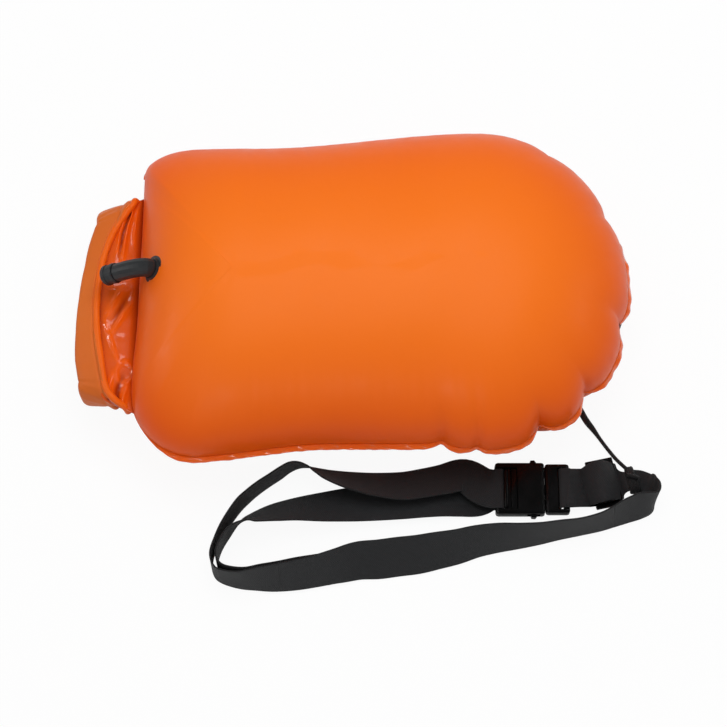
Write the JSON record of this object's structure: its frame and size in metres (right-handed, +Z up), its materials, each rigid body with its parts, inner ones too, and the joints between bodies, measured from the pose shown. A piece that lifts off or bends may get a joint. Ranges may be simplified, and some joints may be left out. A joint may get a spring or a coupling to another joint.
{
  "type": "open water swim buoy",
  "caption": "Inflatable roll-top swim buoy and dry bag with two air chambers, oral valves, tether and buckled waist belt.",
  "frame": {"origin": "middle of the flat of the back chamber, where the buoy rests on the floor", "axes": "+X towards the rounded nose, away from the roll top; -Y towards the belt; +Z up, out of the front chamber"},
  "size_m": [0.5417, 0.4285, 0.1576],
  "materials": {
    "orange_film": "glossy coated film",
    "liner_film": "inner face of the film",
    "black_webbing": "woven webbing",
    "black_acetal": "moulded acetal",
    "grey_rubber": "moulded soft rubber",
    "black_cord": "braided cord",
    "steel_ring": "welded stainless wire"
  },
  "bodies": {
    "root": {"front_air_chamber": "orange_film", "back_air_chamber": "orange_film", "front_liner": "liner_film", "back_liner": "liner_film", "weld_flange": "orange_film", "neck_front_panel": "orange_film", "neck_back_panel": "orange_film", "roll_closure": "orange_film", "roll_stiffener": "black_acetal", "roll_tab_near": "black_webbing", "roll_tab_far": "black_webbing", "roll_buckle_female": "black_acetal", "front_valve_base": "grey_rubber", "front_valve_tube": "grey_rubber", "back_valve_base": "grey_rubber", "back_valve_tube": "grey_rubber", "waist_buckle_female": "black_acetal", "belt_upper_strand": "black_webbing", "belt_left_bend": "black_webbing", "belt_lower_strand": "black_webbing", "belt_tail": "black_webbing", "tether_patch": "orange_film", "tether_tab": "black_webbing", "tether_ring_eye": "black_cord", "tether_ring_knot": "black_cord", "tether_lead": "black_cord", "tether_coil": "black_cord", "tether_cord": "black_cord"},
    "waist_male": {"waist_buckle_male": "black_acetal", "belt_strap_inner": "black_webbing", "belt_strap_outer": "black_webbing", "belt_end_turn": "black_webbing", "belt_hitch_knot": "black_cord"},
    "waist_arm_near": {"waist_buckle_arm_near": "black_acetal"},
    "waist_arm_far": {"waist_buckle_arm_far": "black_acetal"},
    "adjuster": {"tri_glide": "black_acetal"},
    "roll_male": {"roll_buckle_male": "black_acetal"},
    "roll_arm_near": {"roll_buckle_arm_near": "black_acetal"},
    "roll_arm_far": {"roll_buckle_arm_far": "black_acetal"},
    "front_cap": {"front_valve_cap": "grey_rubber"},
    "front_plug": {"front_valve_plug": "black_acetal"},
    "back_cap": {"back_valve_cap": "grey_rubber"},
    "back_plug": {"back_valve_plug": "black_acetal"},
    "d_ring": {"tether_d_ring": "steel_ring"}
  },
  "joints": [
    {"name": "waist_buckle_slide", "type": "slide", "parent": "root", "child": "waist_male", "axis": [1, 0, 0], "range_m": [0, 0.03], "deforming": ["waist_buckle_arm_near", "waist_buckle_arm_far", "tether_cord"]},
    {"name": "waist_arm_near_press", "type": "hinge", "parent": "waist_male", "child": "waist_arm_near", "pos_m": [0.146, -0.177, 0.0062], "axis": [0, 0, -1], "range_deg": [0, 12], "stiffness_Nm_per_rad": 0.05},
    {"name": "waist_arm_far_press", "type": "hinge", "parent": "waist_male", "child": "waist_arm_far", "pos_m": [0.146, -0.146, 0.0062], "axis": [0, 0, 1], "range_deg": [0, 12], "stiffness_Nm_per_rad": 0.05},
    {"name": "tri_glide_slide", "type": "slide", "parent": "waist_male", "child": "adjuster", "axis": [0.9781, 0.2079, 0], "range_m": [-0.008, 0.003], "deforming": ["belt_strap_inner", "belt_strap_outer"]},
    {"name": "roll_buckle_slide", "type": "slide", "parent": "root", "child": "roll_male", "axis": [0, 1, 0], "range_m": [0, 0.022], "deforming": ["roll_buckle_arm_near", "roll_buckle_arm_far", "roll_tab_far"]},
    {"name": "roll_arm_near_press", "type": "hinge", "parent": "roll_male", "child": "roll_arm_near", "pos_m": [-0.25046, 0.008, 0.0305], "axis": [0, 0, -1], "range_deg": [0, 12], "stiffness_Nm_per_rad": 0.05},
    {"name": "roll_arm_far_press", "type": "hinge", "parent": "roll_male", "child": "roll_arm_far", "pos_m": [-0.27154, 0.008, 0.0305], "axis": [0, 0, 1], "range_deg": [0, 12], "stiffness_Nm_per_rad": 0.05},
    {"name": "front_valve_twist", "type": "hinge", "parent": "root", "child": "front_cap", "pos_m": [-0.24676, 0.0125, 0.11281], "axis": [-0.8165, 0, -0.5773], "range_deg": [0, 180]},
    {"name": "front_valve_press", "type": "slide", "parent": "front_cap", "child": "front_plug", "axis": [-0.8165, 0, -0.5773], "range_m": [-0.001, 0], "stiffness_N_per_m": 60},
    {"name": "back_valve_twist", "type": "hinge", "parent": "root", "child": "back_cap", "pos_m": [-0.24487, 0.0125, 0.01532], "axis": [-0.9992, 0, 0.0411], "range_deg": [0, 180]},
    {"name": "back_valve_press", "type": "slide", "parent": "back_cap", "child": "back_plug", "axis": [-0.9992, 0, 0.0411], "range_m": [-0.001, 0], "stiffness_N_per_m": 60},
    {"name": "d_ring_swing", "type": "hinge", "parent": "root", "child": "d_ring", "pos_m": [0.1967, 0.0642, 0.0271], "axis": [-0.3724, 0.9281, 0], "range_deg": [-12, 12], "deforming": ["tether_ring_eye"]}
  ]
}
